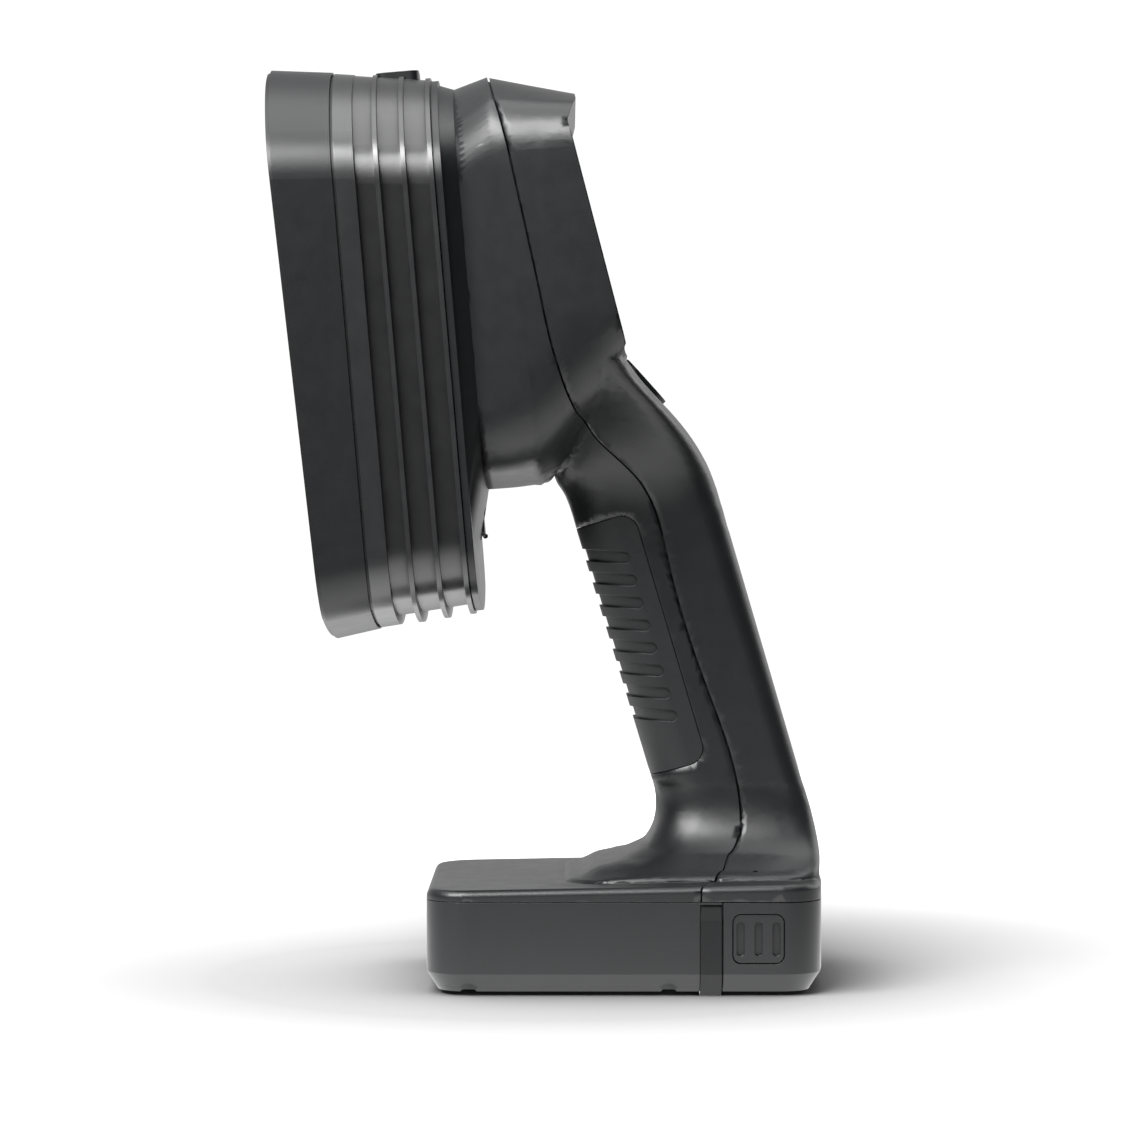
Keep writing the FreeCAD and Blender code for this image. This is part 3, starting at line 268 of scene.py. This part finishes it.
def blend_field(names):
    """Nodes fused into one blank and its fillets relaxed: (search tree, shift at each point)."""
    bm = bmesh.new()
    for name in names:
        bm.from_mesh(NODES[name].data)
    mesh = bpy.data.meshes.new("blank")
    bm.to_mesh(mesh)
    bm.free()
    blank = bpy.data.objects.new("blank", mesh)
    bpy.context.scene.collection.objects.link(blank)
    modifier = blank.modifiers.new("remesh", "REMESH")
    modifier.mode = "VOXEL"
    modifier.voxel_size = BLANK_VOXEL
    solid = blank.evaluated_get(bpy.context.evaluated_depsgraph_get()).to_mesh()
    points = np.empty(len(solid.vertices) * 3)
    solid.vertices.foreach_get("co", points)
    points = points.reshape(-1, 3)
    edges = np.empty(len(solid.edges) * 2, dtype=np.int64)
    solid.edges.foreach_get("vertices", edges)
    edges = edges.reshape(-1, 2)
    bpy.data.objects.remove(blank)
    smooth = relaxed(points, edges, np.full(len(points), RELAX_STEP), DENOISE_ROUNDS)
    shift = relaxed(smooth, edges, RELAX_STEP * softness(points), FILLET_ROUNDS) - smooth
    tree = KDTree(len(points))
    for index, point in enumerate(points):
        tree.insert(point, index)
    tree.balance()
    return tree, shift


def fine_mesh(name):
    """Copy of a node's mesh whose long edges have been halved a few times."""
    bm = bmesh.new()
    bm.from_mesh(NODES[name].data)
    bmesh.ops.remove_doubles(bm, verts=bm.verts, dist=0.001 * MM)
    bmesh.ops.dissolve_degenerate(bm, edges=bm.edges, dist=0.03 * MM)
    bmesh.ops.triangulate(bm, faces=[face for face in bm.faces if len(face.verts) > 3])
    for _ in range(HALVINGS):
        long_edges = [edge for edge in bm.edges if edge.calc_length() > LONGEST_EDGE]
        bmesh.ops.subdivide_edges(bm, edges=long_edges, cuts=1)
        bmesh.ops.triangulate(bm, faces=[face for face in bm.faces if len(face.verts) > 3])
    mesh = bpy.data.meshes.new(name + "_skin")
    bm.to_mesh(mesh)
    bm.free()
    return mesh


def housing_skins():
    """Skins of the two housings with moulded fillets between neck, handle and foot."""
    names = ("front_housing", "rear_housing")
    tree, shift = blend_field(names)
    for name in names:
        mesh = fine_mesh(name)
        for vertex in mesh.vertices:
            near = tree.find_n(vertex.co, NEIGHBOURS)
            weights = np.array([1.0 / (distance + BLANK_VOXEL) for _, _, distance in near])
            moved = weights @ shift[[index for _, index, _ in near]] / weights.sum()
            vertex.co += Vector(moved)
        mesh.shade_smooth()
        mesh.set_sharp_from_angle(angle=SHARP_SKIN)
        mesh.materials.append(MATERIALS["shell_plastic"])
        skin = bpy.data.objects.new(name + "_skin", mesh)
        bpy.context.scene.collection.objects.link(skin)
        even = skin.modifiers.new("weighted_normal", "WEIGHTED_NORMAL")
        even.keep_sharp = True
        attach(skin, "scanner")
        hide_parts(name)


housing_skins()


# ---------------------------------------------------------------- latch springs
WIRE_RADIUS = 0.38 * MM
COIL_TURNS = 4
STEPS_PER_TURN = 28
WIRE_SIDES = 10
SHARP_WIRE = math.radians(50)


def coil_mesh(name, low, high):
    """Closed tube along a helix about X that just fills a box."""
    middle = (low + high) / 2
    coil_radius = (high.y - low.y) / 2 - WIRE_RADIUS
    length = high.x - low.x - 2 * WIRE_RADIUS
    steps = COIL_TURNS * STEPS_PER_TURN
    points = []
    for step in range(steps + 1):
        angle = 2 * math.pi * step / STEPS_PER_TURN
        outward = Vector((0, math.cos(angle), math.sin(angle)))
        centre = Vector((low.x + WIRE_RADIUS + length * step / steps, middle.y, middle.z))
        centre += outward * coil_radius
        for side in range(WIRE_SIDES):
            turn = 2 * math.pi * side / WIRE_SIDES
            along = Vector((math.sin(turn), 0, 0))
            points.append(centre + (outward * math.cos(turn) + along) * WIRE_RADIUS)
    faces = []
    for step in range(steps):
        for side in range(WIRE_SIDES):
            here = step * WIRE_SIDES + side
            beside = step * WIRE_SIDES + (side + 1) % WIRE_SIDES
            faces.append((here, beside, beside + WIRE_SIDES, here + WIRE_SIDES))
    faces.append(tuple(range(WIRE_SIDES))[::-1])
    faces.append(tuple(range(steps * WIRE_SIDES, (steps + 1) * WIRE_SIDES)))
    mesh = bpy.data.meshes.new(name)
    mesh.from_pydata(points, [], faces)
    mesh.shade_smooth()
    mesh.set_sharp_from_angle(angle=SHARP_WIRE)
    mesh.materials.append(MATERIALS["steel"])
    return mesh


def latch_springs():
    """Wound springs behind the latches, in place of the latches' CAD springs and fixed to the battery
    pack.
    """
    for name in ("left", "right"):
        low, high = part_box("latch_spring_" + name)
        coil = bpy.data.objects.new("latch_coil_" + name, coil_mesh("latch_coil_" + name, low, high))
        bpy.context.scene.collection.objects.link(coil)
        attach(coil, "battery_pack")
        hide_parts("latch_spring_" + name)
        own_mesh(coil)


latch_springs()


# ---------------------------------------------------------------- stage, light and camera
FLOOR_SIZE = 1.8
FLOOR_BOUNCE = 2.2
FAR_BOUNCE = 0.1
BOUNCE_FADE = (0.08, 0.45)
HORIZON_FADE = (0.1, 0.4)
FLOOR_PAPER = 0.34
FLOOR_UNSEEN = 0.05
SHADOW_REACH = 0.07
DIM_SURROUND = 0.05
BACK_GLOW = 0.95
WHITE_BACKDROP = 1.05
CAMERA_DISTANCE = 1.157
CAMERA_SIDE = 0.0065
CAMERA_HEIGHT = 0.1434
AIM_HEIGHT = 0.1235


def stage_floor():
    """Pale paper floor, white to the eye, its colour darkened near the object as a painted contact
    shadow, and whose glow under the object fades with distance.
    """
    bpy.ops.mesh.primitive_plane_add(size=FLOOR_SIZE, location=(0, 0, 0))
    floor = bpy.context.active_object
    floor.name = "floor"
    material, tree, shader = new_material("floor_paper")
    shader.inputs["Roughness"].default_value = 0.8
    shader.inputs["Specular IOR Level"].default_value = 0.1
    shader.inputs["Emission Color"].default_value = (1, 1, 1, 1)
    seen = tree.nodes.new("ShaderNodeLightPath").outputs["Is Camera Ray"]
    # Painted contact shadow: the paper's colour is multiplied by how open the floor is within a short
    # reach.
    painted_contact_shadow = tree.nodes.new("ShaderNodeAmbientOcclusion")
    painted_contact_shadow.samples = 12
    painted_contact_shadow.inputs["Distance"].default_value = SHADOW_REACH
    paper = tree.nodes.new("ShaderNodeMath")
    paper.operation = "MULTIPLY"
    tree.links.new(spread(tree, seen, FLOOR_UNSEEN, FLOOR_PAPER), paper.inputs[0])
    tree.links.new(painted_contact_shadow.outputs["AO"], paper.inputs[1])
    tree.links.new(paper.outputs["Value"], shader.inputs["Base Color"])
    away = tree.nodes.new("ShaderNodeVectorMath")
    away.operation = "LENGTH"
    tree.links.new(tree.nodes.new("ShaderNodeTexCoord").outputs["Object"], away.inputs[0])
    bounce = spread(tree, away.outputs["Value"], FLOOR_BOUNCE, FAR_BOUNCE, *BOUNCE_FADE)
    horizon = spread(tree, away.outputs["Value"], 0.0, 1.0, *HORIZON_FADE)
    glow = tree.nodes.new("ShaderNodeMix")
    tree.links.new(seen, glow.inputs["Factor"])
    tree.links.new(bounce, glow.inputs["A"])
    tree.links.new(horizon, glow.inputs["B"])
    tree.links.new(glow.outputs["Result"], shader.inputs["Emission Strength"])
    floor.data.materials.append(material)


def add_panel(name, place, aim, width, height, radiance):
    """Rectangular soft light that faces a point."""
    light = bpy.data.lights.new(name, "AREA")
    light.shape = "RECTANGLE"
    light.size = width
    light.size_y = height
    light.energy = radiance * math.pi * width * height
    lamp = bpy.data.objects.new(name, light)
    lamp.location = place
    lamp.rotation_euler = (Vector(aim) - Vector(place)).to_track_quat("-Z", "Y").to_euler()
    bpy.context.scene.collection.objects.link(lamp)


def studio():
    """White backdrop for the eye, a dark room for the object, and soft panels above it."""
    world = bpy.data.worlds.new("studio")
    bpy.context.scene.world = world
    world.use_nodes = True
    tree = world.node_tree
    background = tree.nodes["Background"]
    background.inputs["Color"].default_value = (1, 1, 1, 1)
    direction = tree.nodes.new("ShaderNodeSeparateXYZ")
    tree.links.new(tree.nodes.new("ShaderNodeTexCoord").outputs["Generated"], direction.inputs["Vector"])
    behind = spread(tree, direction.outputs["X"], BACK_GLOW, 0.0, -0.8, -0.1)
    low = spread(tree, direction.outputs["Z"], 1.0, 0.3, 0.1, 0.5)
    room = tree.nodes.new("ShaderNodeMath")
    room.operation = "MULTIPLY_ADD"
    room.inputs[2].default_value = DIM_SURROUND
    tree.links.new(behind, room.inputs[0])
    tree.links.new(low, room.inputs[1])
    seen = tree.nodes.new("ShaderNodeLightPath").outputs["Is Camera Ray"]
    level = tree.nodes.new("ShaderNodeMix")
    tree.links.new(seen, level.inputs["Factor"])
    tree.links.new(room.outputs["Value"], level.inputs["A"])
    level.inputs["B"].default_value = WHITE_BACKDROP
    tree.links.new(level.outputs["Result"], background.inputs["Strength"])
    add_panel("key", (0.78, -0.60, 1.20), (0, -0.02, 0.2), 1.2, 0.85, 20.0)
    add_panel("overhead", (-0.2, 0.0, 1.60), (0, 0, 0.14), 2.4, 1.2, 2.6)
    add_panel("rear_rim", (-0.9, 1.2, 0.7), (0, 0, 0.14), 0.9, 0.9, 2.0)
    bpy.context.scene.view_settings.view_transform = "Standard"


def camera():
    """Long lens level with the handle, square to the scanner's side."""
    data = bpy.data.cameras.new("camera")
    data.lens = 121.8
    data.sensor_width = 36.0
    eye = bpy.data.objects.new("camera", data)
    eye.location = (CAMERA_DISTANCE, CAMERA_SIDE, CAMERA_HEIGHT)
    aim = Vector((0, CAMERA_SIDE, AIM_HEIGHT)) - eye.location
    eye.rotation_euler = aim.to_track_quat("-Z", "Y").to_euler()
    bpy.context.scene.collection.objects.link(eye)
    bpy.context.scene.camera = eye


stage_floor()
studio()
camera()
